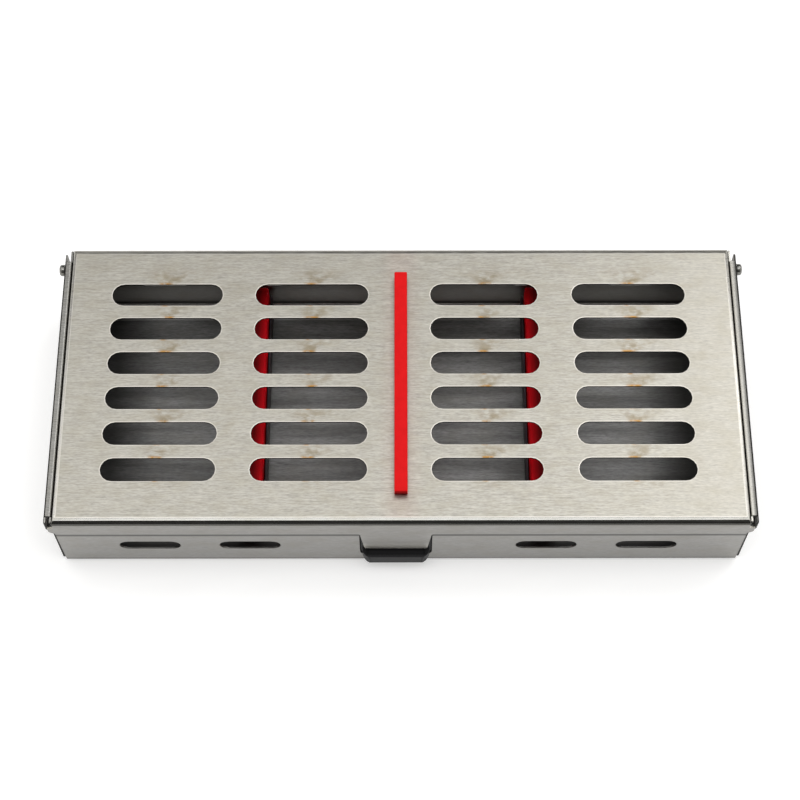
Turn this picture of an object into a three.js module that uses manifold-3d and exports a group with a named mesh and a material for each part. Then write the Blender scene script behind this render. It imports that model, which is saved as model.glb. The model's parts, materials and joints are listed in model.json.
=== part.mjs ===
// Dental instrument cassette: a folded sheet-steel tray with rolled end hems, a slotted lid
// riveted to it at the back, two silicone rails that hold the instruments, a silicone strip
// that presses them down from the lid, and a sprung push latch at the front.
//
// Millimetres. +X runs along the length, the front faces -Y, +Z is up. The origin lies on the
// bench, under the middle of the whole cassette.

import * as THREE from 'three';
import { mergeVertices } from 'three/addons/utils/BufferGeometryUtils.js';
import Module from 'manifold-3d';

const wasm = await Module();
wasm.setup();

// Overall sizes
const length = 200.5; // across the outer faces of the two end hems
const depth = 89; // front face to back face of the lid
const height = 30; // bench to the top face of the lid
const sheet = 0.6; // steel of tray, lid, channels and bracket
const seatGap = 0.3; // between two pieces that rest on each other
const overrun = 4; // how far a cutting tool runs past the faces it cuts
const lap = 0.2; // how far two folds of one sheet run into each other
const punchShift = -0.85; // slots and vents sit this far left of the middle
const railShift = -1.25; // so do the rails
const latchShift = -1.5; // and the latch

// Tray
const hemWidth = 2.15; // over both leaves of the rolled end hem
const hemRound = 0.75; // outer radius of its folds
const hemDrop = 6; // height of the hem
const hemSink = 0.2; // hem top below the lid's top face
const hemFrontSetback = 2.65; // from the lid's front face
const hemBackSetback = 4.4; // from the lid's back face
const leafBackSetback = 1.7; // the hem's outer leaf runs on past its folded top
const panelCorner = 0.5; // upper corners of the end walls
const endBend = 2.6; // outer radius between floor and end walls
const wallBend = 1.3; // outer radius between floor and the long walls
const wallSideGap = 0.1; // open seam between long wall and end wall
const endWallRecess = 0.1; // end wall's cut edge behind the front wall's face
const backWallGap = 1.35; // between back wall and the lid's back flange

// Lid
const lidSideGap = 0.2; // from end wall to lid flange
const lidFrontBend = 2.1; // outer radii of the lid's folds
const lidSideBend = 0.9;
const lidBackBend = 1.9;
const lidBackCorner = 0.8; // back corners of the plate, seen from above
const sideFlangeDrop = 6.4;
const backFlangeDrop = 8;
const lipDrop = 6.8; // front lip, below the lid's top face
const earTopDrop = 3; // where the lip widens to cover the ends of the hems
const earInset = 0.8; // from the hem's outer face to the end of the lip
const earCorner = 2;
const plateLap = 6; // how far the front and back folds reach into the plate
const swingGap = 0.35; // from the back flange's swing to the tray's back wall

// Lid slots, punched in columns and rows
const slotLength = 32.85;
const slotWidth = 7.1;
const slotRows = 6;
const slotRowsInset = 16.35; // from the lid's edge to the nearest row, on average
const slotRowsBack = 0.42; // middle of the rows, behind the middle of the lid
const outerColumn = 68.1; // from the pattern's middle to the outer and inner columns
const innerColumn = 25.4;
const columnLengthShares = [0.995, 1.015, 0.967, 1.02]; // each column has a punch of its own

// Tab on the lip
const tabGap = 1.5; // from the tab's lower edge to the latch ledge
const tabTopHalf = 10.3;
const tabBottomHalf = 9;
const tabRootRadius = 2.2;
const tabCornerRadius = 0.8;

// Vents in the front and back walls
const ventLength = 17.6;
const ventHeight = 5.6;
const frontVentDrop = 18.1; // middle of the vents, below the lid's top face
const backVentDrop = 15.7;
const outerVent = 71.4;
const innerVent = 42.6;

// Lid hinge
const hingeInset = 5.9; // rivet axis in front of the lid's back face
const hingeDrop = 3; // rivet axis below the lid's top face
const hingePinRadius = 1;
const hingeHoleGap = 0.3;
const hingeHeadRadius = 1.75;
const hingeHeadLength = 1.5;
const hingeHeadRound = 0.7;
const hingeTailRadius = 1.7;
const hingeTailLength = 0.8;
const hingeWasherRadius = 2.1;
const hingeWasherThickness = 0.5;

// Silicone hold-down strip
const stripInset = 9.35; // from the lid's faces to the strip's ends, on average
const stripAhead = 0.5; // middle of the strip, in front of the middle of the lid
const stripWidth = 3.75;
const stripProud = 3; // head above the lid's top face
const stripHeadRound = 0.4;
const stripNeckWidth = 2.4;
const stripNeckInset = 1.5; // neck shorter than the head, at each end
const stripBodyTopWidth = 7;
const stripBodyFootWidth = 5;
const stripBodyDepth = 9.6; // below the lid plate
const stripFootRound = 1;

// Silicone rails
const railInner = 39.1; // from the middle between the rails to the inner face of each
const railWidth = 8.5;
const railInset = 7; // from the lid's faces to the rails' ends, on average
const railsBack = 1.5; // middle of the rails, behind the middle of the lid
const railTop = 15.5; // above the bench
const railRound = 0.7;
const railGrooveWidth = 5.6; // groove under the rail, over the rivet heads
const railGrooveHeight = 1.3;
const notchCount = 6;
const notchInset = 8.5; // from the rail's end to the nearest notch
const notchWidth = 4.5;
const notchDepth = 5;
const notchMouthRound = 0.4;

// Rail channels and their rivets
const channelLegTop = 10.2; // above the bench
const channelBend = 1.1;
const railRivetInset = 9.5; // from the rail's end to each rivet
const dimpleRise = 0.9; // floor raised around each rivet
const dimpleRadius = 4;
const railRivetRadius = 1;
const railRivetHeadRadius = 2.2;
const railRivetHeadHeight = 0.6;
const railRivetFootRadius = 2.6;
const railRivetFootHeight = 0.5;
const railRivetFootSink = 0.1; // foot above the bench, inside its dimple

// Latch button
const buttonHalf = 10.1; // half its width
const buttonBottom = 4.8; // above the bench
const buttonTopDrop = 8.4; // below the lid's top face
const buttonThickness = 2.4;
const buttonCorner = 3.4;
const buttonTopCorner = 1;
const ledgeHalf = 9.7; // half the ledge's width
const ledgeProud = 2; // ledge in front of the lid's front face
const ledgeTop = 9.9;
const ledgeRound = 0.6;
const ledgePlanCorner = 2.4; // front corners of the ledge, seen from above
const grooveDepth = 0.6; // finger groove in the ledge's top
const grooveHalf = 8.3;
const grooveRim = 0.8;
const rimReach = 1.2; // flange of the button behind the wall, past the window
const rimTopDrop = 10.5; // below the lid's top face
const windowGap = 0.3;
const windowFootGap = 1.1; // the button dips as it is pushed in
const knuckleInner = 4.3; // knuckles start this far from the button's middle
const knuckleRadius = 2.35;

// Latch pin, clip, bracket and spring
const latchPinDrop = 10; // axis below the lid's top face
const latchPinRadius = 1;
const latchPinGap = 0.3;
const latchPinHeadRadius = 1.7;
const latchPinHeadLength = 0.8;
const latchPinEnd = 0.6; // beyond the clip's groove
const clipGrooveWidth = 1;
const clipGrooveRadius = 0.55;
const clipThickness = 0.4;
const clipRadius = 2.1;
const clipMouthShare = 0.18; // of a full turn
const bracketWebDrop = 3; // top of the web below the lid's top face
const bracketWebHeight = 4.7;
const bracketEarRadius = 2.4;
const bracketEarShoulder = 3;
const springWire = 0.3; // wire radius
const springCoil = 1.75; // mean radius of the coil
const springTurns = 5;
const springPitch = 1.16;
const springGap = 0.45; // from coil to button, room for the push
const springFootReach = 3.2;
const springHeadReach = 3.8;
const springHeadStraight = 2.2;

// Number of flat facets on round shapes
const bendFacets = 4;
const slotFacets = 4;
const holeFacets = 20;
const pinFacets = 24;
const coilFacets = 12;
const wireFacets = 6;

// Places that follow from the sizes above
const halfSheet = sheet / 2;
const frontY = -depth / 2;
const backY = depth / 2;
const endWallX = length / 2 - hemWidth; // inner face of each end wall
const longWallHalf = endWallX - wallSideGap;
const frontWallY = frontY + sheet + seatGap; // outer face
const backWallY = backY - sheet - backWallGap; // outer face
const wallTop = height - lidFrontBend;
const hemTop = height - hemSink;
const lidHalf = endWallX - lidSideGap;
const hingeY = backY - hingeInset;
const hingeZ = height - hingeDrop;
const hingeHoleRadius = hingePinRadius + hingeHoleGap;
const flangeSwing = Math.hypot(hingeInset, backFlangeDrop - hingeDrop);
const backWallTop = hingeZ - swingGap
  - Math.sqrt(flangeSwing ** 2 - (backWallY - sheet - hingeY) ** 2);
const railX = railInner + railWidth / 2;
const channelBottom = sheet + dimpleRise + seatGap;
const railBottom = channelBottom + sheet + seatGap;
const ledgeY = frontY - ledgeProud;
const buttonTop = height - buttonTopDrop;
const latchPinRise = height - latchPinDrop;
const slotPitch = (depth - 2 * slotRowsInset) / (slotRows - 1);
const stripLength = depth - 2 * stripInset;
const stripFront = -stripAhead - stripLength / 2;
const stripBack = -stripAhead + stripLength / 2;
const railLength = depth - 2 * railInset;
const notchPitch = (railLength - 2 * notchInset) / (notchCount - 1);
const railFront = railsBack - railLength / 2;
const railBack = railsBack + railLength / 2;
const railRivetSpread = railLength / 2 - railRivetInset;
const buttonBackY = frontWallY + buttonThickness;
const latchPinY = buttonBackY + springCoil + springWire + springGap;
const bracketEarX = buttonHalf + windowGap + rimReach + seatGap; // inner face of each ear
const bracketY = frontWallY + sheet + seatGap;

// Finishes
const steel = { color: 0xb9b5ab, roughness: 0.38, metalness: 1 };
const bareSteel = { color: 0xa8a8a6, roughness: 0.3, metalness: 1 };
const redSilicone = { color: 0xd81f22, roughness: 0.55, metalness: 0 };
const blackPlastic = { color: 0x17181a, roughness: 0.5, metalness: 0 };

const group = new THREE.Group();
group.position.y = ledgeProud / 2; // the latch ledge reaches past the lid, so the middle moves
const node = (name, geometry, finish) => {
  const mesh = new THREE.Mesh(geometry, new THREE.MeshStandardMaterial(finish));
  mesh.name = name;
  group.add(mesh);
};

// Solids and booleans

const solidOf = (geometry) => {
  geometry.deleteAttribute('normal');
  geometry.deleteAttribute('uv');
  const merged = mergeVertices(geometry);
  return new wasm.Manifold(new wasm.Mesh({
    numProp: 3,
    vertProperties: Float32Array.from(merged.attributes.position.array),
    triVerts: Uint32Array.from(merged.index.array),
  }));
};

const geometryOf = (solid) => {
  const mesh = solid.getMesh();
  const geometry = new THREE.BufferGeometry();
  geometry.setAttribute('position', new THREE.BufferAttribute(mesh.vertProperties, 3));
  geometry.setIndex(new THREE.BufferAttribute(mesh.triVerts, 1));
  geometry.computeVertexNormals();
  return geometry;
};

const joined = (solids) => solids.reduce((sum, solid) => sum.add(solid));
const cutBy = (body, tools) => tools.reduce((rest, tool) => rest.subtract(tool), body);

// Profiles drawn in a plane and extruded from one coordinate to another along the third axis

const axisX = new THREE.Vector3(1, 0, 0);
const axisY = new THREE.Vector3(0, 1, 0);
const axisZ = new THREE.Vector3(0, 0, 1);

const extruded = (shape, from, to, facets = slotFacets) =>
  new THREE.ExtrudeGeometry(shape, {
    depth: to - from, bevelEnabled: false, curveSegments: facets,
  });

const alongX = (shapeYZ, from, to, facets) => extruded(shapeYZ, from, to, facets)
  .applyMatrix4(new THREE.Matrix4().makeBasis(axisY, axisZ, axisX).setPosition(from, 0, 0));

const alongY = (shapeXZ, from, to, facets) => extruded(shapeXZ, from, to, facets)
  .applyMatrix4(new THREE.Matrix4().makeBasis(axisX, axisZ, axisY.clone().negate())
    .setPosition(0, to, 0));

const alongZ = (shapeXY, from, to, facets) => extruded(shapeXY, from, to, facets)
  .translate(0, 0, from);

const barX = (radius, from, to, y, z, facets = holeFacets) =>
  new THREE.CylinderGeometry(radius, radius, to - from, facets)
    .rotateZ(Math.PI / 2).translate((from + to) / 2, y, z);

const barZ = (radius, from, to, x, y, facets = holeFacets) =>
  new THREE.CylinderGeometry(radius, radius, to - from, facets)
    .rotateX(Math.PI / 2).translate(x, y, (from + to) / 2);

const boxShape = (x0, y0, x1, y1) => new THREE.Shape([
  new THREE.Vector2(x0, y0), new THREE.Vector2(x1, y0),
  new THREE.Vector2(x1, y1), new THREE.Vector2(x0, y1),
]);

// A polygon whose corners are rounded, each by its own radius
const roundedShape = (corners) => {
  const shape = new THREE.Shape();
  corners.forEach(([x, y, radius = 0], i) => {
    const here = new THREE.Vector2(x, y);
    const before = corners[(i + corners.length - 1) % corners.length];
    const after = corners[(i + 1) % corners.length];
    const towardsBefore = new THREE.Vector2(before[0], before[1]).sub(here).normalize();
    const towardsAfter = new THREE.Vector2(after[0], after[1]).sub(here).normalize();
    const half = Math.acos(towardsBefore.dot(towardsAfter)) / 2;
    const reach = radius / Math.tan(half);
    const start = here.clone().addScaledVector(towardsBefore, reach);
    const end = here.clone().addScaledVector(towardsAfter, reach);
    if (i === 0) shape.moveTo(start.x, start.y);
    else shape.lineTo(start.x, start.y);
    if (radius > 0) {
      const centre = here.clone().addScaledVector(
        towardsBefore.clone().add(towardsAfter).normalize(), radius / Math.sin(half));
      const clockwise = towardsBefore.cross(towardsAfter) > 0;
      shape.absarc(centre.x, centre.y, radius,
        Math.atan2(start.y - centre.y, start.x - centre.x),
        Math.atan2(end.y - centre.y, end.x - centre.x), clockwise);
    }
  });
  shape.closePath();
  return shape;
};

const obround = (x, y, long, wide) => {
  const radius = wide / 2;
  const reach = long / 2 - radius;
  const shape = new THREE.Shape();
  shape.absarc(x + reach, y, radius, -Math.PI / 2, Math.PI / 2, false);
  shape.absarc(x - reach, y, radius, Math.PI / 2, Math.PI * 1.5, false);
  shape.closePath();
  return shape;
};

// Section of a folded sheet: the path is the middle plane, with sharp corners and the middle
// radius of each fold, and the sheet lies half its thickness to either side
const foldedSheet = (path, thickness) => {
  const left = [];
  const right = [];
  const put = (point, normal) => {
    left.push(point.clone().addScaledVector(normal, thickness / 2));
    right.push(point.clone().addScaledVector(normal, -thickness / 2));
  };
  const points = path.map(([x, y]) => new THREE.Vector2(x, y));
  const normalOf = (d) => new THREE.Vector2(-d.y, d.x);
  points.forEach((point, i) => {
    const into = i > 0 ? point.clone().sub(points[i - 1]).normalize() : null;
    const out = i < points.length - 1 ? points[i + 1].clone().sub(point).normalize() : null;
    if (!into || !out) {
      put(point, normalOf(into ?? out));
      return;
    }
    const turn = Math.atan2(into.cross(out), into.dot(out));
    const side = Math.sign(turn);
    const radius = path[i][2];
    const start = point.clone().addScaledVector(into, -radius * Math.tan(Math.abs(turn) / 2));
    const centre = start.clone().addScaledVector(normalOf(into), radius * side);
    for (let k = 0; k <= bendFacets; k += 1) {
      const normal = normalOf(into).rotateAround(new THREE.Vector2(), turn * k / bendFacets);
      put(centre.clone().addScaledVector(normal, -radius * side), normal);
    }
  });
  return new THREE.Shape([...left, ...right.reverse()]);
};

// Base tray: floor, four walls and two rolled hems, folded from one sheet

const ventsAt = (rise) => [-outerVent, -innerVent, innerVent, outerVent]
  .map((x) => obround(x + punchShift, rise, ventLength, ventHeight));

const windowShape = roundedShape([
  [latchShift - buttonHalf - windowGap, buttonBottom - windowFootGap, buttonCorner],
  [latchShift + buttonHalf + windowGap, buttonBottom - windowFootGap, buttonCorner],
  [latchShift + buttonHalf + windowGap, buttonTop + windowGap, buttonTopCorner],
  [latchShift - buttonHalf - windowGap, buttonTop + windowGap, buttonTopCorner],
]);

const longWall = (top) => roundedShape([
  [-longWallHalf, wallBend], [longWallHalf, wallBend],
  [longWallHalf + wallSideGap + lap, top], [-longWallHalf - wallSideGap - lap, top],
]);

const railPlaces = [-1, 1].flatMap((side) => [-1, 1].map((end) => ({
  side, end, x: railShift + side * railX, y: railsBack + end * railRivetSpread,
})));

const baseTray = () => {
  const trough = foldedSheet([
    [frontWallY + halfSheet, wallTop],
    [frontWallY + halfSheet, halfSheet, wallBend - halfSheet],
    [backWallY - halfSheet, halfSheet, wallBend - halfSheet],
    [backWallY - halfSheet, backWallTop],
  ], sheet);
  const endWallMid = endWallX + halfSheet;
  const cradle = (top) => foldedSheet([
    [-endWallMid, top],
    [-endWallMid, halfSheet, endBend - halfSheet],
    [endWallMid, halfSheet, endBend - halfSheet],
    [endWallMid, top],
  ], sheet);
  const withinEnds = solidOf(alongY(cradle(height), frontY, backY)).hull();
  const panelTop = hemTop - hemRound;
  const panelRamp = backY - backWallY;
  const endPanel = roundedShape([
    [frontWallY + endWallRecess, endBend],
    [backWallY - endWallRecess, endBend],
    [backWallY - endWallRecess, height - backFlangeDrop - panelRamp],
    [backY - seatGap, height - backFlangeDrop],
    [backY - seatGap, panelTop, panelCorner],
    [frontWallY + endWallRecess, panelTop, panelCorner],
  ]);
  const foldRadius = hemRound - halfSheet;
  const hemFoot = hemTop - hemDrop;
  const leafFoot = (side) => [
    [side * (endWallX + sheet + seatGap), hemFoot + halfSheet],
    [side * (length / 2 - halfSheet), hemFoot + halfSheet, foldRadius],
  ];
  const hem = (side) => foldedSheet([
    ...leafFoot(side),
    [side * (length / 2 - halfSheet), hemTop - halfSheet, foldRadius],
    [side * endWallMid, hemTop - halfSheet, foldRadius],
    [side * endWallMid, hemFoot],
  ], sheet);
  const outerLeaf = (side) => foldedSheet([
    ...leafFoot(side), [side * (length / 2 - halfSheet), panelTop],
  ], sheet);
  const floorFront = frontWallY + wallBend;
  const floorBack = backWallY - wallBend;
  const sides = [-1, 1];
  const folds = joined([
    solidOf(alongX(trough, -longWallHalf, longWallHalf)).intersect(withinEnds),
    ...[
      alongY(cradle(hemTop - hemDrop), floorFront, floorBack),
      alongY(longWall(wallTop), frontWallY, frontWallY + sheet),
      alongY(longWall(backWallTop), backWallY - sheet, backWallY),
      ...sides.map((side) => alongX(endPanel,
        Math.min(side * endWallX, side * (endWallX + sheet)),
        Math.max(side * endWallX, side * (endWallX + sheet)))),
      ...sides.map((side) => alongY(outerLeaf(side), frontY + sheet + seatGap,
        backY - leafBackSetback)),
      ...sides.map((side) => alongY(hem(side), frontY + hemFrontSetback, backY - hemBackSetback)),
      ...railPlaces.map(({ x, y }) => barZ(dimpleRadius, halfSheet, sheet + dimpleRise, x, y)),
    ].map(solidOf),
  ]);
  return cutBy(folds, [
    ...ventsAt(height - frontVentDrop).map((shape) =>
      alongY(shape, frontWallY - overrun, frontWallY + overrun)),
    ...ventsAt(height - backVentDrop).map((shape) =>
      alongY(shape, backWallY - overrun, backWallY + overrun)),
    alongY(windowShape, frontWallY - overrun, frontWallY + overrun),
    ...railPlaces.map(({ x, y }) => barZ(dimpleRadius - sheet, -overrun, dimpleRise, x, y)),
    ...railPlaces.map(({ x, y }) => barZ(railRivetRadius + seatGap, 0, overrun, x, y)),
    ...sides.map((side) => barX(hingeHoleRadius, side * endWallX - overrun,
      side * endWallX + overrun, hingeY, hingeZ)),
  ].map(solidOf));
};

// Lid panel: plate with four folded edges, a wide front lip and its tab

const lipShape = () => {
  const lipBottom = height - lipDrop;
  const tabBottom = ledgeTop + tabGap;
  const earHalf = length / 2 - earInset;
  const halfOutline = (side) => [
    [side * lidHalf, height - lidFrontBend],
    [side * lidHalf, height - earTopDrop],
    [side * earHalf, height - earTopDrop],
    [side * earHalf, lipBottom, earCorner],
    [latchShift + side * tabTopHalf, lipBottom, tabRootRadius],
    [latchShift + side * tabBottomHalf, tabBottom, tabCornerRadius],
  ];
  return roundedShape([...halfOutline(-1), ...halfOutline(1).reverse()]);
};

const lidPanel = () => {
  const plateZ = height - halfSheet;
  const flangeX = lidHalf - halfSheet;
  const across = (drop) => foldedSheet([
    [-flangeX, height - drop],
    [-flangeX, plateZ, lidSideBend - halfSheet],
    [flangeX, plateZ, lidSideBend - halfSheet],
    [flangeX, height - drop],
  ], sheet);
  const frontFold = foldedSheet([
    [frontY + halfSheet, height - earTopDrop],
    [frontY + halfSheet, plateZ, lidFrontBend - halfSheet],
    [frontY + plateLap, plateZ],
  ], sheet);
  const backFold = foldedSheet([
    [backY - plateLap, plateZ],
    [backY - halfSheet, plateZ, lidBackBend - halfSheet],
    [backY - halfSheet, height - backFlangeDrop],
  ], sheet);
  const flangeFront = frontY + lidFrontBend;
  const flangeBack = backY - lidBackBend;
  const withinSides = solidOf(alongY(across(backFlangeDrop), frontY, backY)).hull();
  const folds = joined([
    solidOf(alongY(across(sideFlangeDrop), flangeFront, flangeBack)),
    ...[frontFold, backFold].map((fold) =>
      solidOf(alongX(fold, -lidHalf, lidHalf)).intersect(withinSides)),
    solidOf(alongY(lipShape(), frontY, frontY + sheet)),
  ]);
  const columns = [-outerColumn, -innerColumn, innerColumn, outerColumn];
  const rows = Array.from({ length: slotRows }, (_, row) =>
    slotRowsBack + ((slotRows - 1) / 2 - row) * slotPitch);
  const slots = columns.flatMap((x, column) => rows.map((y) =>
    obround(x + punchShift, y, slotLength * columnLengthShares[column], slotWidth)));
  const neckHalf = stripNeckWidth / 2 + seatGap;
  const cornerOff = (side) => {
    const shape = new THREE.Shape();
    shape.moveTo(side * (lidHalf + lap), backY - lidBackCorner);
    shape.lineTo(side * lidHalf, backY - lidBackCorner);
    shape.absarc(side * (lidHalf - lidBackCorner), backY - lidBackCorner, lidBackCorner,
      side > 0 ? 0 : Math.PI, Math.PI / 2, side < 0);
    shape.lineTo(side * (lidHalf - lidBackCorner), backY + lap);
    shape.lineTo(side * (lidHalf + lap), backY + lap);
    shape.closePath();
    return shape;
  };
  return cutBy(folds, [
    ...slots.map((shape) => alongZ(shape, height - overrun, height + overrun)),
    alongZ(boxShape(-neckHalf, stripFront + stripNeckInset - seatGap,
      neckHalf, stripBack - stripNeckInset + seatGap), height - overrun, height + overrun),
    ...[-1, 1].map((side) => alongZ(cornerOff(side), 0, height + overrun)),
    barX(hingeHoleRadius, -lidHalf - overrun, lidHalf + overrun, hingeY, hingeZ),
  ].map(solidOf));
};

// Hold-down strip: the head shows on top of the lid, the neck passes through it and the body
// presses on the instruments

const holdDownStrip = () => {
  const head = roundedShape([
    [-stripWidth / 2, height + seatGap], [stripWidth / 2, height + seatGap],
    [stripWidth / 2, height + stripProud, stripHeadRound],
    [-stripWidth / 2, height + stripProud, stripHeadRound],
  ]);
  const bodyTop = height - sheet - seatGap;
  const bodyFoot = height - sheet - stripBodyDepth;
  const body = roundedShape([
    [-stripBodyFootWidth / 2, bodyFoot, stripFootRound],
    [stripBodyFootWidth / 2, bodyFoot, stripFootRound],
    [stripBodyTopWidth / 2, bodyTop], [-stripBodyTopWidth / 2, bodyTop],
  ]);
  const neck = boxShape(-stripNeckWidth / 2, bodyTop - lap,
    stripNeckWidth / 2, height + seatGap + lap);
  return joined([
    alongY(head, stripFront, stripBack),
    alongY(neck, stripFront + stripNeckInset, stripBack - stripNeckInset),
    alongY(body, stripFront, stripBack),
  ].map(solidOf));
};

// Rail: a silicone bar with a groove underneath and a notch for each instrument

const railPad = (x) => {
  const outline = roundedShape([
    [x - railWidth / 2, railBottom],
    [x - railGrooveWidth / 2, railBottom],
    [x - railGrooveWidth / 2, railBottom + railGrooveHeight],
    [x + railGrooveWidth / 2, railBottom + railGrooveHeight],
    [x + railGrooveWidth / 2, railBottom],
    [x + railWidth / 2, railBottom],
    [x + railWidth / 2, railTop, railRound],
    [x - railWidth / 2, railTop, railRound],
  ]);
  const notch = (y) => roundedShape([
    [y - notchWidth / 2, railTop - notchDepth, notchWidth / 2 - lap],
    [y + notchWidth / 2, railTop - notchDepth, notchWidth / 2 - lap],
    [y + notchWidth / 2, railTop, notchMouthRound],
    [y + notchWidth / 2 + overrun, railTop],
    [y + notchWidth / 2 + overrun, railTop + overrun],
    [y - notchWidth / 2 - overrun, railTop + overrun],
    [y - notchWidth / 2 - overrun, railTop],
    [y - notchWidth / 2, railTop, notchMouthRound],
  ]);
  const notches = Array.from({ length: notchCount }, (_, i) =>
    notch(railsBack + (i - (notchCount - 1) / 2) * notchPitch));
  return cutBy(solidOf(alongY(outline, railFront, railBack)),
    notches.map((shape) => solidOf(
      alongX(shape, x - railWidth / 2 - overrun, x + railWidth / 2 + overrun))));
};

const railChannel = (x) => {
  const legX = railWidth / 2 + seatGap + halfSheet;
  const section = foldedSheet([
    [x - legX, channelLegTop],
    [x - legX, channelBottom + halfSheet, channelBend - halfSheet],
    [x + legX, channelBottom + halfSheet, channelBend - halfSheet],
    [x + legX, channelLegTop],
  ], sheet);
  return cutBy(solidOf(alongY(section, railFront, railBack)),
    [-1, 1].map((end) => solidOf(barZ(railRivetRadius + seatGap, 0, channelLegTop,
      x, railsBack + end * railRivetSpread))));
};

// Turned pieces: a profile of [radius, position along the axis] pairs, spun about the axis

const spun = (profile, facets = pinFacets) => new THREE.LatheGeometry(
  profile.map(([radius, along]) => new THREE.Vector2(radius, along)), facets);
const spunAlongX = (profile, y, z) => spun(profile).rotateZ(-Math.PI / 2).translate(0, y, z);

const railRivet = (x, y) => {
  const headBottom = channelBottom + sheet + seatGap;
  const footTop = railRivetFootSink + railRivetFootHeight;
  return spun([
    [0, railRivetFootSink], [railRivetFootRadius, railRivetFootSink],
    [railRivetFootRadius, footTop], [railRivetRadius, footTop],
    [railRivetRadius, headBottom], [railRivetHeadRadius, headBottom],
    [railRivetHeadRadius * Math.cos(Math.PI / 4), headBottom + railRivetHeadHeight],
    [0, headBottom + railRivetHeadHeight],
  ]).rotateX(Math.PI / 2).translate(x, y, 0);
};

const washerOuterX = lidHalf - sheet - seatGap;
const washerInnerX = washerOuterX - hingeWasherThickness;

// Profiles of the hinge pieces run outwards from the middle of the cassette
const hingeRivetProfile = () => {
  const tailOuter = washerInnerX - seatGap;
  const headInner = length / 2 + seatGap;
  const headOuter = headInner + hingeHeadLength;
  const rim = Array.from({ length: bendFacets + 1 }, (_, i) => {
    const angle = (i / bendFacets) * Math.PI / 2;
    return [hingeHeadRadius - hingeHeadRound * (1 - Math.cos(angle)),
      headOuter - hingeHeadRound * (1 - Math.sin(angle))];
  });
  return [
    [0, tailOuter - hingeTailLength], [hingeTailRadius, tailOuter - hingeTailLength],
    [hingeTailRadius, tailOuter], [hingePinRadius, tailOuter],
    [hingePinRadius, headInner], [hingeHeadRadius, headInner], ...rim, [0, headOuter],
  ];
};

const hingeWasherProfile = () => [
  [hingeHoleRadius, washerInnerX], [hingeWasherRadius, washerInnerX],
  [hingeWasherRadius, washerOuterX], [hingeHoleRadius, washerOuterX],
  [hingeHoleRadius, washerInnerX],
];

const onSide = (geometry, side) => (side > 0 ? geometry
  : geometry.rotateZ(Math.PI).translate(0, 2 * hingeY, 0));

// Latch button: a plate in the wall's window, a ledge under the tab, a rim behind the wall and
// two knuckles on the pin

const latchButton = () => {
  const left = latchShift - buttonHalf;
  const right = latchShift + buttonHalf;
  const plate = roundedShape([
    [left, buttonBottom, buttonCorner], [right, buttonBottom, buttonCorner],
    [right, buttonTop, buttonTopCorner], [left, buttonTop, buttonTopCorner],
  ]);
  const rimBottom = buttonBottom - windowFootGap - rimReach;
  const rimSide = windowGap + rimReach;
  const rim = roundedShape([
    [left - rimSide, rimBottom, buttonCorner + rimReach],
    [right + rimSide, rimBottom, buttonCorner + rimReach],
    [right + rimSide, height - rimTopDrop, buttonTopCorner],
    [left - rimSide, height - rimTopDrop, buttonTopCorner],
  ]);
  const ledgeLeft = latchShift - ledgeHalf;
  const ledgeRight = latchShift + ledgeHalf;
  const ledgeOutline = roundedShape([
    [ledgeLeft, buttonBottom, buttonCorner], [ledgeRight, buttonBottom, buttonCorner],
    [ledgeRight, ledgeTop, ledgeRound], [ledgeLeft, ledgeTop, ledgeRound],
  ]);
  const ledgeSection = roundedShape([
    [ledgeY, buttonBottom, ledgeRound], [buttonBackY, buttonBottom],
    [buttonBackY, ledgeTop], [ledgeY, ledgeTop, ledgeRound],
  ]);
  const ledgePlan = roundedShape([
    [ledgeLeft, ledgeY, ledgePlanCorner], [ledgeRight, ledgeY, ledgePlanCorner],
    [ledgeRight, buttonBackY], [ledgeLeft, buttonBackY],
  ]);
  const ledge = [
    alongY(ledgeOutline, ledgeY, buttonBackY),
    alongX(ledgeSection, ledgeLeft, ledgeRight),
    alongZ(ledgePlan, buttonBottom, ledgeTop),
  ].map(solidOf).reduce((common, solid) => common.intersect(solid));
  const groove = boxShape(latchShift - grooveHalf, ledgeY + grooveRim,
    latchShift + grooveHalf, frontWallY);
  const knuckle = new THREE.Shape();
  knuckle.moveTo(buttonBackY - lap, latchPinRise - knuckleRadius);
  knuckle.lineTo(latchPinY, latchPinRise - knuckleRadius);
  knuckle.absarc(latchPinY, latchPinRise, knuckleRadius, -Math.PI / 2, Math.PI / 2, false);
  knuckle.lineTo(buttonBackY - lap, latchPinRise + knuckleRadius);
  knuckle.closePath();
  const body = joined([
    ledge,
    ...[
      alongY(plate, frontWallY, buttonBackY),
      alongY(rim, bracketY, buttonBackY),
      alongX(knuckle, left, latchShift - knuckleInner, holeFacets / 2),
      alongX(knuckle, latchShift + knuckleInner, right, holeFacets / 2),
    ].map(solidOf),
  ]);
  return cutBy(body, [
    alongZ(groove, ledgeTop - grooveDepth, ledgeTop + overrun),
    barX(latchPinRadius + latchPinGap, left - overrun, right + overrun,
      latchPinY, latchPinRise),
  ].map(solidOf));
};

const earOuter = bracketEarX + sheet;
const clipGrooveStart = latchShift + earOuter;

const latchPinProfile = () => {
  const headInner = latchShift - earOuter - seatGap;
  const end = clipGrooveStart + clipGrooveWidth + latchPinEnd;
  return [
    [0, headInner - latchPinHeadLength], [latchPinHeadRadius, headInner - latchPinHeadLength],
    [latchPinHeadRadius, headInner], [latchPinRadius, headInner],
    [latchPinRadius, clipGrooveStart], [clipGrooveRadius, clipGrooveStart],
    [clipGrooveRadius, clipGrooveStart + clipGrooveWidth],
    [latchPinRadius, clipGrooveStart + clipGrooveWidth],
    [latchPinRadius, end], [0, end],
  ];
};

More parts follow.
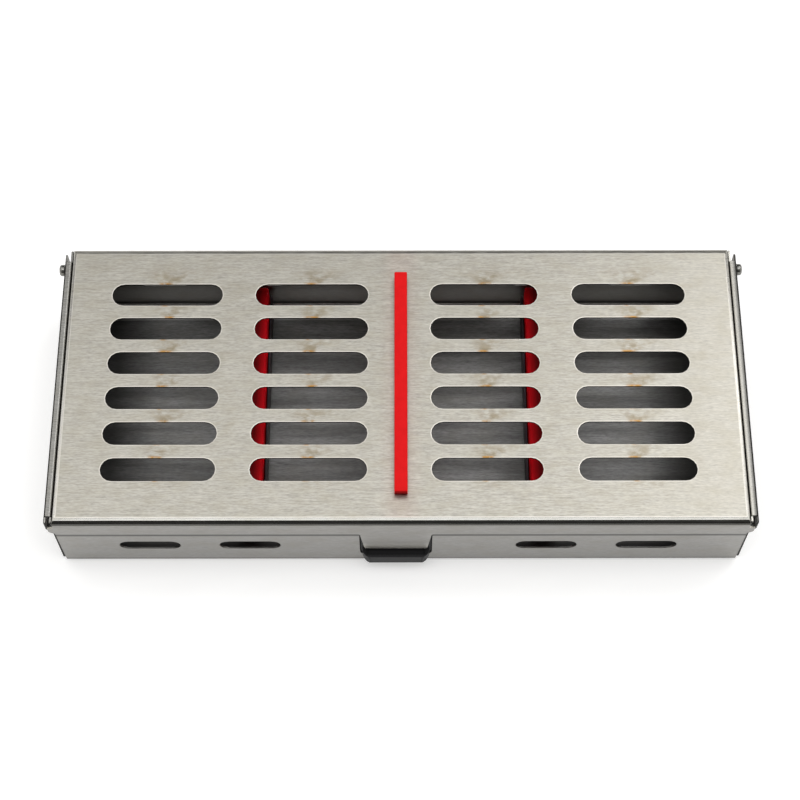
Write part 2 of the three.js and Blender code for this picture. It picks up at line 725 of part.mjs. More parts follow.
// Snap ring in the pin's groove, open downwards
const latchClip = () => {
  const inner = clipGrooveRadius + seatGap;
  const mouth = clipMouthShare * Math.PI;
  const down = -Math.PI / 2;
  const ring = new THREE.Shape();
  ring.absarc(latchPinY, latchPinRise, clipRadius, down + mouth, down - mouth + 2 * Math.PI, false);
  ring.absarc(latchPinY, latchPinRise, inner, down - mouth + 2 * Math.PI, down + mouth, true);
  ring.closePath();
  const start = clipGrooveStart + seatGap;
  return alongX(ring, start, start + clipThickness, coilFacets);
};

// Bracket: a web on the inside of the front wall, with two ears folded back to hold the pin
const latchBracket = () => {
  const webTop = height - bracketWebDrop;
  const web = boxShape(latchShift - earOuter, webTop - bracketWebHeight,
    latchShift + earOuter, webTop);
  const ear = new THREE.Shape();
  ear.moveTo(bracketY, webTop);
  ear.lineTo(bracketY, latchPinRise - bracketEarRadius);
  ear.lineTo(latchPinY, latchPinRise - bracketEarRadius);
  ear.absarc(latchPinY, latchPinRise, bracketEarRadius, -Math.PI / 2, 0, false);
  ear.lineTo(bracketY + bracketEarShoulder, webTop);
  ear.closePath();
  const body = joined([
    alongY(web, bracketY, bracketY + sheet),
    alongX(ear, latchShift - earOuter, latchShift - bracketEarX),
    alongX(ear, latchShift + bracketEarX, latchShift + earOuter),
  ].map(solidOf));
  return cutBy(body, [solidOf(barX(latchPinRadius + latchPinGap,
    latchShift - earOuter - overrun, latchShift + earOuter + overrun,
    latchPinY, latchPinRise))]);
};

// Torsion spring around the pin: one leg bears on the button, the other on the bracket's web
const latchSpring = () => {
  const startX = latchShift - springTurns * springPitch / 2;
  const endX = latchShift + springTurns * springPitch / 2;
  const coilFrontY = latchPinY - springCoil;
  const webTouchY = bracketY + sheet + seatGap + springWire;
  const points = [
    new THREE.Vector3(startX, coilFrontY, latchPinRise - springFootReach),
    new THREE.Vector3(startX, coilFrontY, latchPinRise - springFootReach / 2),
  ];
  const steps = springTurns * coilFacets;
  for (let i = 0; i <= steps; i += 1) {
    const angle = (i / steps) * springTurns * 2 * Math.PI;
    points.push(new THREE.Vector3(
      startX + (endX - startX) * (i / steps),
      latchPinY - springCoil * Math.cos(angle),
      latchPinRise + springCoil * Math.sin(angle)));
  }
  points.push(new THREE.Vector3(endX, coilFrontY, latchPinRise + springHeadStraight));
  points.push(new THREE.Vector3(endX, webTouchY, latchPinRise + springHeadReach));
  const gap = springPitch - 2 * springWire;
  console.log(`latch spring: least gap between turns ${gap.toFixed(2)} mm`);
  const wire = new THREE.Shape();
  wire.absarc(0, 0, springWire, 0, 2 * Math.PI, false);
  return new THREE.ExtrudeGeometry(wire, {
    steps: steps + coilFacets,
    extrudePath: new THREE.CatmullRomCurve3(points, false, 'centripetal'),
    bevelEnabled: false, curveSegments: wireFacets / 2,
  });
};

// Assembly

node('base_tray', geometryOf(baseTray()), steel);
node('lid_panel', geometryOf(lidPanel()), steel);
node('hold_down_strip', geometryOf(holdDownStrip()), redSilicone);

[['left', -1], ['right', 1]].forEach(([hand, side]) => {
  node(`rail_channel_${hand}`, geometryOf(railChannel(railShift + side * railX)), steel);
  node(`rail_pad_${hand}`, geometryOf(railPad(railShift + side * railX)), redSilicone);
  node(`hinge_rivet_${hand}`,
    onSide(spunAlongX(hingeRivetProfile(), hingeY, hingeZ), side), bareSteel);
  node(`hinge_washer_${hand}`,
    onSide(spunAlongX(hingeWasherProfile(), hingeY, hingeZ), side), bareSteel);
});

railPlaces.forEach(({ side, end, x, y }) => {
  const name = `rail_rivet_${side < 0 ? 'left' : 'right'}_${end < 0 ? 'front' : 'back'}`;
  node(name, railRivet(x, y), bareSteel);
});

node('latch_button', geometryOf(latchButton()), blackPlastic);
node('latch_bracket', geometryOf(latchBracket()), steel);
node('latch_pin', spunAlongX(latchPinProfile(), latchPinY, latchPinRise), bareSteel);
node('latch_clip', latchClip(), bareSteel);
node('latch_spring', latchSpring(), bareSteel);

export default group;
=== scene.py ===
import json
import math

import bpy
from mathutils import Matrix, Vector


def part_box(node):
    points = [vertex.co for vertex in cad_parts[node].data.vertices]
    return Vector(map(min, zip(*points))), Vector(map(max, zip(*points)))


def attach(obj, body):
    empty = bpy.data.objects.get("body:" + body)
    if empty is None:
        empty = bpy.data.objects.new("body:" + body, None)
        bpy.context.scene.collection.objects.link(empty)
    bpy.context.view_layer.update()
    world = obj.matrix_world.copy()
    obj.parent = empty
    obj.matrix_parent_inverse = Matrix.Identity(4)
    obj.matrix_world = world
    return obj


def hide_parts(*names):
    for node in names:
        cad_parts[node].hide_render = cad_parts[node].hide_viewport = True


# All lengths are in metres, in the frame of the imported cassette.
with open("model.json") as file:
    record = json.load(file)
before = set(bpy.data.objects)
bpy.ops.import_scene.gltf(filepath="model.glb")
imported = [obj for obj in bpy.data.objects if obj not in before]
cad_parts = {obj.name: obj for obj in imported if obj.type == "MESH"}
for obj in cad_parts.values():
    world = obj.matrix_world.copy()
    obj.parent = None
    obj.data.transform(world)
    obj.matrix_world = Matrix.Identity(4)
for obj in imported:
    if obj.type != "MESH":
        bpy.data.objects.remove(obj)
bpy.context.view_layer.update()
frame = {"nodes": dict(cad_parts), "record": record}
bpy.ops.object.select_all(action="DESELECT")


# Camera and light
# The closed cassette is seen from the front and well above, over a plain white bench.
# A wide panel overhead, two softboxes behind and pale sides light the brushed steel.

bpy.ops.object.camera_add(location=(0, -0.24144, 0.52349),
                          rotation=[math.radians(turn) for turn in (25.6, 0.03, -0.07)])
camera = bpy.context.object
camera.name = "photo_camera"
camera.data.lens = 85.5
camera.data.sensor_width = 36
camera.data.shift_x = -0.00125
bpy.context.scene.camera = camera
bpy.context.scene.view_settings.view_transform = "Standard"


class Recipe:
    """The nodes of one finish, or of the light round the bench, added a step at a time."""

    def __init__(self, owner):
        owner.use_nodes = True
        self.nodes = owner.node_tree.nodes
        self.links = owner.node_tree.links

    def fill(self, node, inputs):
        """Gives each input of a node the result of another step, or a plain value."""
        for name, value in inputs.items():
            if isinstance(value, bpy.types.NodeSocket):
                self.links.new(value, node.inputs[name])
            else:
                node.inputs[name].default_value = value

    def step(self, kind, inputs, output, **settings):
        """Adds a node, sets it up, and gives the output that the next step reads."""
        node = self.nodes.new("ShaderNode" + kind)
        for name, value in settings.items():
            setattr(node, name, value)
        self.fill(node, inputs)
        return node.outputs[output]

    def along(self, axis, coordinates="Object"):
        """How far a point lies along X, Y or Z. On a piece this is in metres."""
        place = self.step("TexCoord", {}, coordinates)
        return self.step("SeparateXYZ", {"Vector": place}, axis)

    def reckon(self, operation, *values):
        """One step of arithmetic."""
        return self.step("Math", dict(enumerate(values)), "Value", operation=operation)

    def times(self, first, second):
        """The product of two values."""
        return self.reckon("MULTIPLY", first, second)

    def between(self, value, start, end, at_start, at_end):
        """Changes evenly while the value goes from start to end, and not outside them."""
        return self.step("MapRange", {"Value": value, "From Min": start, "From Max": end,
                                      "To Min": at_start, "To Max": at_end}, "Result")

    def blended(self, amount, first, second, way="MIX"):
        """The first colour with an amount of the second in it."""
        return self.step("Mix", {"Factor": amount, "A": first, "B": second}, "Result",
                         data_type="RGBA", blend_type=way)


studio = bpy.data.worlds.new("studio")
bpy.context.scene.world = studio
sky = Recipe(studio)
upward = sky.along("Z", "Generated")
sideways = sky.reckon("ABSOLUTE", sky.along("X", "Generated"))
overhead_glow = sky.between(upward, start=0.15, end=0.95, at_start=0.03, at_end=0.3)
side_glow = sky.between(sideways, start=0.25, end=0.6, at_start=0, at_end=0.8)
horizon_glow = sky.between(upward, start=0.1, end=0.2, at_start=1, at_end=0)
above_bench = sky.reckon("ADD", overhead_glow, side_glow)
sky.fill(sky.nodes["Background"], {
    "Color": (1, 0.99, 0.97, 1),
    "Strength": sky.reckon("MAXIMUM", above_bench, horizon_glow),
})

for name, place, turns, size, power in (
    ("softbox_behind", (0, 0.53, 1.27), (-23, 0, 0), (1.9, 0.55), 4.1),
    ("softbox_right", (0.66, 0.64, 1.22), (-27, 20, 0), (0.72, 0.55), 2.4),
    ("panel_overhead", (0, -0.12, 1.35), (5, 0, 0), (1.2, 0.6), 5.6),
):
    bpy.ops.object.light_add(type="AREA", location=place,
                             rotation=[math.radians(turn) for turn in turns])
    lamp = bpy.context.object
    lamp.name = name
    lamp.data.shape = "RECTANGLE"
    lamp.data.size, lamp.data.size_y = size
    lamp.data.energy = power

bpy.ops.mesh.primitive_plane_add(size=6, location=(0, 0, 0))
bench = bpy.context.object
bench.name = "bench_top"
white_bench = bpy.data.materials.new("white_bench")
paint = Recipe(white_bench)
paint_surface = paint.nodes["Principled BSDF"]
paint.fill(paint_surface, {"Base Color": (0.82, 0.82, 0.82, 1), "Roughness": 0.9,
                           "Specular IOR Level": 0})
# where the bench is looked at, straight or mirrored in steel, it is lifted to white
lift = paint.step("Emission", {"Color": (1, 1, 1, 1), "Strength": 0.36}, "Emission")
lifted = paint.step("AddShader", {0: paint_surface.outputs["BSDF"], 1: lift}, "Shader")
looked_at, mirrored, seen_through = [
    paint.step("LightPath", {}, f"Is {way} Ray") for way in ("Camera", "Glossy", "Transmission")]
seen = paint.step("Math", {0: looked_at, 1: paint.reckon("ADD", mirrored, seen_through)}, "Value",
                  operation="ADD", use_clamp=True)
paint.fill(paint.nodes["Material Output"], {
    "Surface": paint.step("MixShader", {"Fac": seen, 1: paint_surface.outputs["BSDF"], 2: lifted},
                          "Shader"),
})
bench.data.materials.append(white_bench)


# Base tray
# One blank of thin stainless sheet, brushed along its length, punched with the vents and
# the latch window, folded up into four walls and rolled over into a hem at each end.

sheet = 0.0006
hem_width = 0.00215
tray_low, tray_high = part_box("base_tray")
front_face = tray_low.y
hem_outer = tray_high.x
hem_inner = hem_outer - hem_width


def brush_lines(steel, across, along, detail, shift):
    """Noise drawn out as a brush leaves it; across and along are its waves in a metre."""
    drawn_out = steel.step("Mapping", {
        "Vector": steel.step("TexCoord", {}, "Object"),
        "Location": (shift, shift, shift),
        "Scale": (along, across, across),
    }, "Vector")
    return steel.step("TexNoise", {"Vector": drawn_out, "Scale": 1, "Detail": detail}, "Fac")


def brushed_steel(name, colour, grain, roughness=0.34, marks=None):
    """Steel whose brush lines are lighter and darker by a share, the grain, under warm clouds."""
    finish = bpy.data.materials.new(name)
    steel = Recipe(finish)
    fine = brush_lines(steel, across=3600, along=700, detail=3, shift=3.1)
    broad = brush_lines(steel, across=2200, along=230, detail=3, shift=7.7)
    clouds = brush_lines(steel, across=260, along=140, detail=4, shift=1.3)
    noise_span = (0.3, 0.7)  # nearly all of the noise lies between these
    line_tones = (1 - grain, 1 + grain)
    lines = steel.blended(0.5, steel.between(fine, *noise_span, *line_tones),
                          steel.between(broad, *noise_span, *line_tones))
    tone = steel.blended(1.0, (*colour, 1), lines, "MULTIPLY")
    cloud_edges = (0.42, 0.72)
    cloud_strength = 0.4
    cloud_shares = (0.83, 0.80, 0.71)
    clouded = [part * share for part, share in zip(colour, cloud_shares)]
    tone = steel.blended(steel.between(clouds, *cloud_edges, 0, cloud_strength), tone, (*clouded, 1))
    if marks:
        tone = marks(steel, tone)
    roughness_span = (roughness - 0.05, roughness + 0.07)
    relief = steel.step("Bump", {"Strength": 0.25, "Distance": 0.00003, "Height": fine}, "Normal")
    steel.fill(steel.nodes["Principled BSDF"], {
        "Metallic": 1,
        "Base Color": tone,
        "Roughness": steel.between(broad, *noise_span, *roughness_span),
        "Normal": relief,
    })
    return finish


def joined_copy(node, name, finishes):
    """A copy of a CAD node with its triangles joined into whole faces, none of them selected."""
    mesh = frame["nodes"][node].data.copy()
    mesh.materials.clear()
    for finish in finishes:
        mesh.materials.append(finish)
    piece = bpy.data.objects.new(name, mesh)
    bpy.context.collection.objects.link(piece)
    bpy.ops.object.select_all(action="DESELECT")
    piece.select_set(True)
    bpy.context.view_layer.objects.active = piece
    bpy.ops.object.mode_set(mode="EDIT")
    bpy.ops.mesh.select_mode(type="FACE")
    bpy.ops.mesh.select_all(action="SELECT")
    bpy.ops.mesh.remove_doubles(threshold=0.000004)
    bpy.ops.mesh.dissolve_limited(angle_limit=math.radians(1), delimit=set())
    bpy.ops.mesh.select_all(action="DESELECT")
    bpy.ops.object.mode_set(mode="OBJECT")
    return piece


def break_edges(piece, width, segments):
    """Rounds every edge a little, and keeps the broad faces flat in the light."""
    bevel = piece.modifiers.new("broken_edges", "BEVEL")
    bevel.width = width
    bevel.segments = segments
    bevel.angle_limit = math.radians(40)
    bevel.use_clamp_overlap = False
    bpy.ops.object.modifier_apply(modifier="broken_edges")
    bpy.ops.object.shade_smooth_by_angle(angle=math.radians(32))
    weights = piece.modifiers.new("flat_faces_lead", "WEIGHTED_NORMAL")
    weights.keep_sharp = True
    bpy.ops.object.modifier_apply(modifier="flat_faces_lead")
    piece.select_set(False)


def stand_for(piece, node):
    """The piece replaces its node, and rides on the node's body."""
    bodies = frame["record"]["behaviour"]["bodies"]
    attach(piece, next(body for body, members in bodies.items() if node in members))
    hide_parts(node)


def dressed(node, name, finishes, edge, segments=2):
    """A CAD node as it really looks, with its edges broken and its finishes on."""
    piece = joined_copy(node, name, finishes)
    break_edges(piece, edge, segments)
    stand_for(piece, node)
    return piece


def shaded_front_wall(steel, tone):
    """Painted shade on the front wall: a thin shadow line under the lip, darker along its foot, and
    faintly darker towards its bottom.
    """
    outside = (front_face + 0.0002, front_face + 0.0004)
    line_foot = (0.0187, 0.0192)
    line_top = (0.0198, 0.0205)
    foot_shade_span = (0.0010, 0.0024)
    lower_wall = (0.001, 0.02)
    front_shade_tone = (0.06, 0.058, 0.055, 1)

    height = steel.along("Z")
    shadow_line = steel.between(steel.along("Y"), *outside, 0.9, 0)
    shadow_line = steel.times(shadow_line, steel.between(height, *line_foot, 0, 1))
    shadow_line = steel.times(shadow_line, steel.between(height, *line_top, 1, 0))
    foot_shade = steel.between(height, *foot_shade_span, 0.7, 0)
    lower_shade = steel.between(height, *lower_wall, 0.12, 0)
    for amount in (shadow_line, foot_shade, lower_shade):
        tone = steel.blended(amount, tone, front_shade_tone)
    return tone


def hem_highlight_and_shade(steel, tone):
    """Painted highlight along the right hem's inner edge, and painted shade on both hems' outer
    round.
    """
    right_half = (0, 0.0001)
    inner_edge = (hem_inner + 0.0005, hem_inner + 0.0012)
    right_round = (hem_inner + 0.0008, hem_inner + 0.0017)
    left_round = (-hem_outer + 0.00005, -hem_outer + 0.00035)
    painted_highlight = (0.72, 0.70, 0.64, 1)
    shade_and_dull_tone = (0.03, 0.029, 0.027, 1)

    rightward = steel.along("X")
    highlighted = steel.blended(steel.between(rightward, *inner_edge, 1, 0), tone, painted_highlight)
    tone = steel.blended(steel.between(rightward, *right_half, 0, 0.6), tone, highlighted)
    tone = steel.blended(steel.between(rightward, *right_round, 0, 0.9), tone, shade_and_dull_tone)
    return steel.blended(steel.between(rightward, *left_round, 0.8, 0), tone, shade_and_dull_tone)


def bands_and_shade_inside(steel, tone):
    """The inside is dull in random bands. Painted shade darkens both ends and the floor along the
    foot of the front wall.
    """
    band_edges = (0.40, 0.62)
    end_reach = (0.074, 0.087)
    front_foot = (-0.038, -0.034)
    back_foot = (0.0365, 0.0385)
    back_foot_top = (0.0045, 0.0060)
    shade_and_dull_tone = (0.035, 0.034, 0.033, 1)
    painted_light_tone = (0.95, 0.94, 0.93, 1)

    outward = steel.reckon("ABSOLUTE", steel.along("X"))
    backward = steel.along("Y")
    brushed = brush_lines(steel, across=240, along=22, detail=3, shift=6.6)
    bands = steel.between(brushed, *band_edges, 0, 0.45)
    end_shade = steel.between(outward, *end_reach, 0, 0.75)
    foot_shade = steel.between(backward, *front_foot, 0.92, 0)
    for amount in (bands, end_shade, foot_shade):
        tone = steel.blended(amount, tone, shade_and_dull_tone)
    # painted light: only the foot of the back wall is bright
    lit = steel.blended(steel.between(backward, *back_foot, 0, 1), tone, painted_light_tone)
    return steel.blended(steel.between(steel.along("Z"), *back_foot_top, 0, 1), lit, tone)


# the tray's outside carries painted shade under the lip and along the foot of the front wall
tray_steel = brushed_steel("tray_steel", (0.29, 0.284, 0.272), grain=0.2, marks=shaded_front_wall)
# the inside carries painted shade at its ends and front foot, and painted light at the foot of the
# back wall
tray_inside = brushed_steel("tray_inside_steel", (0.25, 0.248, 0.245), grain=0.4, roughness=0.5,
                            marks=bands_and_shade_inside)
# near-black steel on the cut hem ends and the hems' outer round is painted shade
cut_edge_shade = brushed_steel("cut_edge_shade_steel", (0.015, 0.014, 0.012), grain=0.03, roughness=0.5)
# the rolled hem carries a painted highlight on its inner edge and painted shade on its outer round
hem_steel = brushed_steel("rolled_hem_steel", (0.23, 0.226, 0.214), grain=0.35, roughness=0.28,
                          marks=hem_highlight_and_shade)
tray_finishes = [tray_steel, tray_inside, cut_edge_shade, hem_steel]
tray = dressed("base_tray", "folded_tray", tray_finishes, edge=0.00008)

# the places where the faces of each finish begin
hem_side = hem_inner + 0.00005
hem_outer_round = hem_outer - 0.00055
hem_fold = tray_high.z - 0.0013
inside_end = hem_inner + 0.0001
inside_front = front_face + sheet - 0.0001
inside_back = 0.0425
inside_floor = sheet - 0.00005
for face in tray.data.polygons:
    x, y, z = face.center
    facing_side, facing_front = abs(face.normal.x), abs(face.normal.y)
    on_hem = abs(x) > hem_side
    on_fold = on_hem and z > hem_fold
    cut = on_hem and facing_front > 0.9
    outer_round = on_fold and facing_side > 0.45 and abs(x) > hem_outer_round
    # the cut ends and the hems' outer round take the near-black painted shade
    if cut or outer_round:
        face.material_index = tray_finishes.index(cut_edge_shade)
    elif on_fold and facing_front < 0.5:
        face.material_index = tray_finishes.index(hem_steel)
    elif abs(x) < inside_end and inside_front < y < inside_back and z > inside_floor:
        face.material_index = tray_finishes.index(tray_inside)


# Lid panel
# A second sheet, slotted in rows, folded down on four sides. Its front lip covers the hem
# ends and carries the tab. Steriliser water has dried brown beside the slots.

lid_low, lid_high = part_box("lid_panel")
lid_top = lid_high.z
lip_face = lid_low.y
pattern_middle = -0.00085
outer_column = 0.0681
inner_column = 0.0254
slot_width = 0.0071
slot_pitch = 0.01126
web = slot_pitch - slot_width
rows_middle = (lid_low.y + lid_high.y) / 2 + 0.00042
slot_far_edge = rows_middle + (slot_pitch + slot_width) / 2  # of one slot, a pitch from the next
last_row_edge = slot_far_edge + 2 * slot_pitch


def on_plate(steel):
    """One on the plate's top, and nothing on its folds and flanges."""
    return steel.between(steel.along("Z"), lid_top - 0.0010, lid_top - 0.0004, 0, 1)


def beside_slot(steel):
    """Distance to the right of the middle of the nearest column of slots."""
    beside = steel.reckon("SUBTRACT", steel.along("X"), pattern_middle)
    for spread in ((outer_column + inner_column) / 2, (outer_column - inner_column) / 2):
        side = steel.reckon("SIGN", beside)
        beside = steel.reckon("SUBTRACT", beside, steel.times(side, spread))
    return beside


def above_slot(steel):
    """Distance behind the far edge of the nearest slot, from nothing to one pitch."""
    behind = steel.reckon("SUBTRACT", steel.along("Y"), slot_far_edge)
    return steel.reckon("WRAP", behind, slot_pitch, 0)


def wetted_rows(steel):
    """One on the plate from the front row to a web behind the last one, and nothing past them."""
    wet_reach = (0.0335, 0.0365)
    from_middle = steel.reckon("SUBTRACT", steel.along("Y"), rows_middle + web / 2)
    in_rows = steel.between(steel.reckon("ABSOLUTE", from_middle), *wet_reach, 1, 0)
    return steel.times(on_plate(steel), in_rows)


def wandering(steel):
    """A slow change from slot to slot, above and below nothing, so that no two marks are alike."""
    slow = brush_lines(steel, across=90, along=90, detail=2, shift=5.5)
    return steel.reckon("SUBTRACT", slow, 0.5)


def brown_smudges(steel, tone):
    """Brown smudges fan out above each slot, leaning to the right."""
    wander_reach = 0.007
    lean_start = 0.0006
    lean_share = 0.3
    fan_start = 0.0014  # half its width at the slot
    fan_share = 1.5
    soft_side_shares = (0.3, 1.4)
    fading_above = (0.0005, 0.0048)
    streak_edges = (0.38, 0.60)
    brown = (0.20, 0.155, 0.085, 1)
    most_brown = 0.75

    above = above_slot(steel)
    aside = steel.reckon("ADD", beside_slot(steel), steel.times(wandering(steel), wander_reach))
    leaning = steel.reckon("MULTIPLY_ADD", above, lean_share, lean_start)
    half_width = steel.reckon("MULTIPLY_ADD", above, fan_share, fan_start)
    off_lean = steel.reckon("ABSOLUTE", steel.reckon("SUBTRACT", aside, leaning))
    fan = steel.between(steel.reckon("DIVIDE", off_lean, half_width), *soft_side_shares, 1, 0)
    streaks = brush_lines(steel, across=620, along=420, detail=5, shift=9.2)
    streaked = steel.times(steel.between(streaks, *streak_edges, 0, 1),
                           steel.between(above, *fading_above, 1, 0.3))
    smudge = steel.times(steel.times(fan, wetted_rows(steel)), streaked)
    return steel.blended(steel.times(smudge, most_brown), tone, brown)


def rust_spots(steel, tone):
    """Rust sits on the far edge of most slots, and less of it on the near edge."""
    wander_reach = 0.008
    far_half_width = (0.0008, 0.0022)
    far_depth = (0.0003, 0.0007)
    near_shift = 0.0007
    near_half_width = (0.0003, 0.0012)
    near_depth = (web - 0.00046, web - 0.00016)
    behind_last_row = (last_row_edge + 0.00008, last_row_edge + 0.00048)
    speck_edges = (0.38, 0.52)
    rust_brown = (0.38, 0.19, 0.04, 1)
    most_rust = 0.9

    above = above_slot(steel)
    beside = beside_slot(steel)
    far_aside = steel.reckon("MULTIPLY_ADD", wandering(steel), wander_reach, beside)
    far_spot = steel.times(
        steel.between(steel.reckon("ABSOLUTE", far_aside), *far_half_width, 1, 0),
        steel.between(above, *far_depth, 1, 0))
    near_aside = steel.reckon("ADD", beside, near_shift)
    near_edge = steel.times(steel.between(above, *near_depth, 0, 0.8),
                            steel.between(steel.along("Y"), *behind_last_row, 1, 0))
    near_spot = steel.times(
        steel.between(steel.reckon("ABSOLUTE", near_aside), *near_half_width, 1, 0), near_edge)
    specks = brush_lines(steel, across=800, along=500, detail=3, shift=4.4)
    speckled = steel.times(wetted_rows(steel), steel.between(specks, *speck_edges, 0.15, 1))
    rust = steel.times(steel.reckon("ADD", far_spot, near_spot), speckled)
    return steel.blended(steel.times(rust, most_rust), tone, rust_brown)


def painted_red_reflection(steel, tone):
    """Painted reflection: a faint pink from the red strip on the steel beside it."""
    reflection_reach = (0.002, 0.0065)
    reflected_pink = (1.0, 0.90, 0.90, 1)
    from_strip = steel.reckon("ABSOLUTE", steel.along("X"))
    red_reflection = steel.times(steel.between(from_strip, *reflection_reach, 0.6, 0), on_plate(steel))
    return steel.blended(red_reflection, tone, reflected_pink, "MULTIPLY")


def shaded_back_edge(steel, tone):
    """The plate falls away a little towards its back fold, and painted shade darkens it there."""
    back_edge = (lid_high.y - 0.0023, lid_high.y - 0.0019)
    back_shade_grey = (0.36, 0.355, 0.34, 1)
    back_shade = steel.times(steel.between(steel.along("Y"), *back_edge, 0, 0.35), on_plate(steel))
    return steel.blended(back_shade, tone, back_shade_grey)


def plate_stains_and_painted_light(steel, tone):
    """The stains and rust on the plate's top, with the painted reflection and painted shade, one over
    the other.
    """
    for mark in (brown_smudges, rust_spots, painted_red_reflection, shaded_back_edge):
        tone = mark(steel, tone)
    return tone


def lit_tab_edge(steel, tone):
    """A painted highlight keeps the tab's lower edge bright."""
    lower_edge = (lid_low.z + 0.0006, lid_low.z + 0.0044)
    painted_light_tone = (0.66, 0.64, 0.58, 1)
    return steel.blended(steel.between(steel.along("Z"), *lower_edge, 0.6, 0), tone, painted_light_tone)


lid_steel = brushed_steel("lid_steel", (0.39, 0.374, 0.333), grain=0.32, marks=plate_stains_and_painted_light)
# near-black slot walls are painted shade
slot_wall_shade = brushed_steel("slot_wall_shade_steel", (0.012, 0.012, 0.012), grain=0.2, roughness=0.5)
pressed_fold = brushed_steel("pressed_fold_steel", (0.30, 0.296, 0.279), grain=0.16, roughness=0.16)
# the lip is a darker copy of the lid steel: painted shade on the front-facing lip
shaded_lip_steel = brushed_steel("shaded_lip_steel", (0.275, 0.268, 0.255), grain=0.2, marks=lit_tab_edge)
# the front fold's lower facets take dark steel as painted shade
fold_shade = brushed_steel("fold_shade_steel", (0.10, 0.098, 0.092), grain=0.1, roughness=0.2)
# the side folds take lighter steel as a painted highlight
side_fold_highlight = brushed_steel("side_fold_highlight_steel", (0.46, 0.45, 0.42), grain=0.12, roughness=0.3)
polished_rim_highlight = brushed_steel("polished_rim_highlight_steel", (0.55, 0.53, 0.485), grain=0.03, roughness=0.36,
                             marks=plate_stains_and_painted_light)
lid_finishes = [lid_steel, slot_wall_shade, pressed_fold, shaded_lip_steel, fold_shade, side_fold_highlight, polished_rim_highlight]
lid = joined_copy("lid_panel", "slotted_lid", lid_finishes)

# a polished rim runs round the plate's top and round each slot; its lighter colour is a painted
# highlight
rim_width = 0.0003
for face in lid.data.polygons:
    face.select = face.normal.z > 0.99 and face.center.z > lid_top - 0.0001
bpy.ops.object.mode_set(mode="EDIT")
bpy.ops.mesh.inset(thickness=rim_width, use_even_offset=True, use_select_inset=True)
bpy.ops.object.mode_set(mode="OBJECT")
for face in lid.data.polygons:
    if face.select:
        face.material_index = lid_finishes.index(polished_rim_highlight)
break_edges(lid, width=0.00005, segments=2)
stand_for(lid, "lid_panel")

# the places where the faces of each finish begin; the front fold is smoother steel above and painted
# shade below, the side folds carry a painted highlight, and the slot walls painted shade
front_bend = lip_face + 0.0020
front_bend_foot = lid_top - 0.0025
lip_front = lip_face + 0.0005
side_bend = lid_high.x - 0.00255
side_bend_foot = lid_top - 0.0010
plate_foot = lid_top - sheet - 0.0001
last_slot_edge = 0.04
for face in lid.data.polygons:
    x, y, z = face.center
    facing_front = -face.normal.y
    if abs(x) > side_bend and z > side_bend_foot and 0.1 < abs(face.normal.x) < 0.95:
        face.material_index = lid_finishes.index(side_fold_highlight)
    elif y < lip_front and facing_front >= 0.96:
        face.material_index = lid_finishes.index(shaded_lip_steel)
    elif y < front_bend and z > front_bend_foot and 0.45 <= facing_front < 0.96:
        face.material_index = lid_finishes.index(fold_shade)
    elif y < front_bend and z > front_bend_foot and 0.08 < facing_front < 0.45:
        face.material_index = lid_finishes.index(pressed_fold)
    elif (face.material_index == lid_finishes.index(lid_steel) and z > plate_foot
          and abs(face.normal.z) < 0.3 and abs(y) < last_slot_edge):
        face.material_index = lid_finishes.index(slot_wall_shade)


# Hold-down strip
# Red silicone, moulded in one bar and pulled through the slot in the lid until its head
# snaps on top.

strip_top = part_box("hold_down_strip")[1].z


def moulded(name, dark, light, waves, detail, spread, relief, depth, roughness, gloss, shade=None):
    """A moulded skin, mottled from a dark to a light tone and raised a little by the mottle."""
    finish = bpy.data.materials.new(name)
    skin = Recipe(finish)
    mottle = skin.step("TexNoise", {"Vector": skin.step("TexCoord", {}, "Object"),
                                    "Scale": waves, "Detail": detail}, "Fac")
    ramp = skin.nodes.new("ShaderNodeValToRGB")
    for stop, position, colour in zip(ramp.color_ramp.elements, spread, (dark, light)):
        stop.position = position
        stop.color = (*colour, 1)
    skin.fill(ramp, {"Fac": mottle})
    tone = ramp.outputs["Color"]
    if shade:
        tone = shade(skin, tone)
    raised = skin.step("Bump", {"Strength": relief, "Distance": depth, "Height": mottle}, "Normal")
    skin.fill(skin.nodes["Principled BSDF"], {
        "Base Color": tone,
        "Roughness": roughness,
        "Specular IOR Level": gloss,
        "Normal": raised,
    })
    return finish


def silicone(name, colour, roughness, shade=None):
    """Satin silicone, mottled with a slightly darker tone."""
    dark_shares = (0.9, 0.8, 0.8)
    dark = [part * share for part, share in zip(colour, dark_shares)]
    return moulded(name, dark, colour, waves=420, detail=4, spread=(0.3, 0.7), relief=0.15,
                   depth=0.00005, roughness=roughness, gloss=0.1, shade=shade)


def shade_towards_plate(skin, tone):
    """Painted shade: the strip's cut ends darken towards the plate."""
    head = (lid_top + 0.0003, strip_top - 0.0001)
    deepest_shade = (0.02, 0.0008, 0.001, 1)
    return skin.blended(skin.between(skin.along("Z"), *head, 0, 1), deepest_shade, tone)


strip_red = silicone("red_silicone", (0.72, 0.006, 0.008), roughness=0.6)
shaded_strip_end = silicone("shaded_silicone_end", (0.66, 0.004, 0.005), roughness=0.7, shade=shade_towards_plate)
strip_finishes = [strip_red, shaded_strip_end]
strip = dressed("hold_down_strip", "red_strip", strip_finishes, edge=0.00025, segments=3)
# the cut ends take the darker red with painted shade at their foot
for face in strip.data.polygons:
    if abs(face.normal.y) > 0.95:
        face.material_index = strip_finishes.index(shaded_strip_end)


# Rails
# Dark red silicone bars with a notch for each handle, pressed into steel channels that are
# riveted to raised dimples in the floor.

left_rail_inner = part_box("rail_pad_left")[1].x
right_rail_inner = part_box("rail_pad_right")[0].x
rails_middle = (left_rail_inner + right_rail_inner) / 2


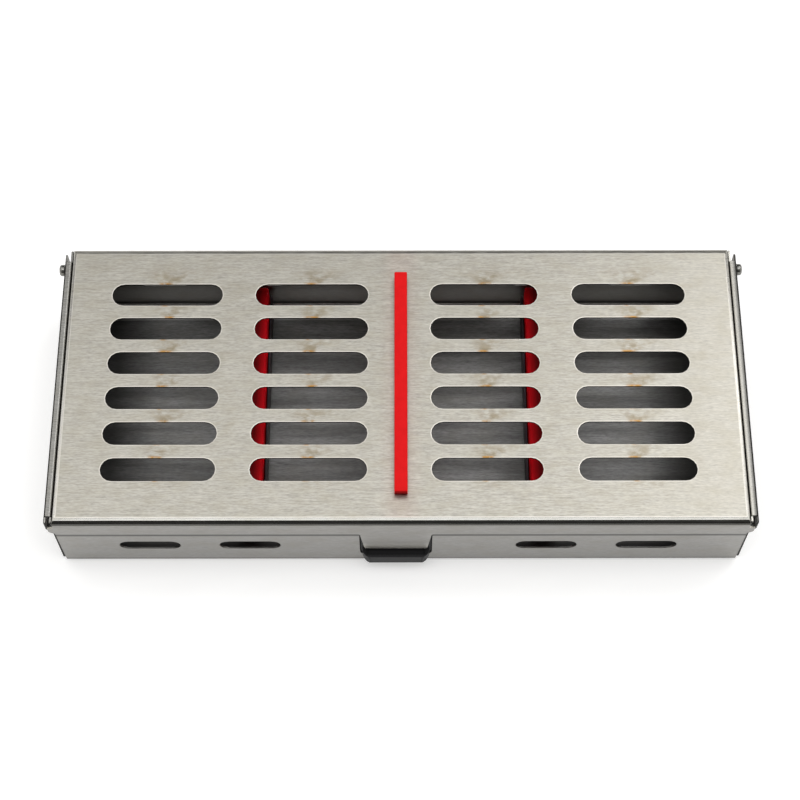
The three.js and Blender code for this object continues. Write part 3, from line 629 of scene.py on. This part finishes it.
def lit_inner_edge(skin, tone):
    """Each rail carries a painted highlight of clear red along the edge that faces the middle of the
    tray.
    """
    inner_reach = right_rail_inner - rails_middle
    edge_width = 0.0027
    painted_lit_red = (0.80, 0.002, 0.010, 1)
    outward = skin.reckon("ABSOLUTE", skin.reckon("SUBTRACT", skin.along("X"), rails_middle))
    edge = skin.between(outward, inner_reach, inner_reach + edge_width, 1, 0)
    return skin.blended(edge, tone, painted_lit_red)


# a painted highlight runs along each rail's inner edge
rail_red = silicone("dark_red_silicone", (0.20, 0.001, 0.003), roughness=0.6, shade=lit_inner_edge)
rivet_steel = brushed_steel("rivet_steel", (0.22, 0.22, 0.21), grain=0.05, roughness=0.2)
# near-black purple steel: painted shade with a painted red reflection in it
channel_steel = brushed_steel("channel_steel", (0.06, 0.045, 0.052), grain=0.08, roughness=0.5)
for side in ("left", "right"):
    dressed(f"rail_pad_{side}", f"notched_rail_{side}", [rail_red], edge=0.0002, segments=3)
    dressed(f"rail_channel_{side}", f"rail_trough_{side}", [channel_steel], edge=0.00008)
    for end in ("front", "back"):
        dressed(f"rail_rivet_{side}_{end}", f"floor_rivet_{side}_{end}", [rivet_steel], edge=0.00015)


# Hinge rivets and washers
# A domed rivet passes through the rolled hem and the lid's side flange, and is closed
# inside over a washer.

for side in ("left", "right"):
    dressed(f"hinge_rivet_{side}", f"domed_rivet_{side}", [rivet_steel], edge=0.00012)
    dressed(f"hinge_washer_{side}", f"thin_washer_{side}", [rivet_steel], edge=0.00008)


# Latch
# A black moulded button in the front wall's window. It turns on a steel pin, which a small
# bracket and a snap ring hold, and a torsion spring pushes it shut.

latch_black = moulded("black_moulding", (0.011, 0.011, 0.012), (0.022, 0.022, 0.023), waves=2500,
                      detail=3, spread=(0, 1), relief=0.3, depth=0.00003, roughness=0.45, gloss=0.12)
dressed("latch_button", "latch_moulding", [latch_black], edge=0.00015)
dressed("latch_pin", "pivot_pin", [rivet_steel], edge=0.0001)
dressed("latch_clip", "snap_ring", [rivet_steel], edge=0.00005)
dressed("latch_bracket", "pin_bracket", [channel_steel], edge=0.00008)
dressed("latch_spring", "return_spring", [rivet_steel], edge=0.00001, segments=1)
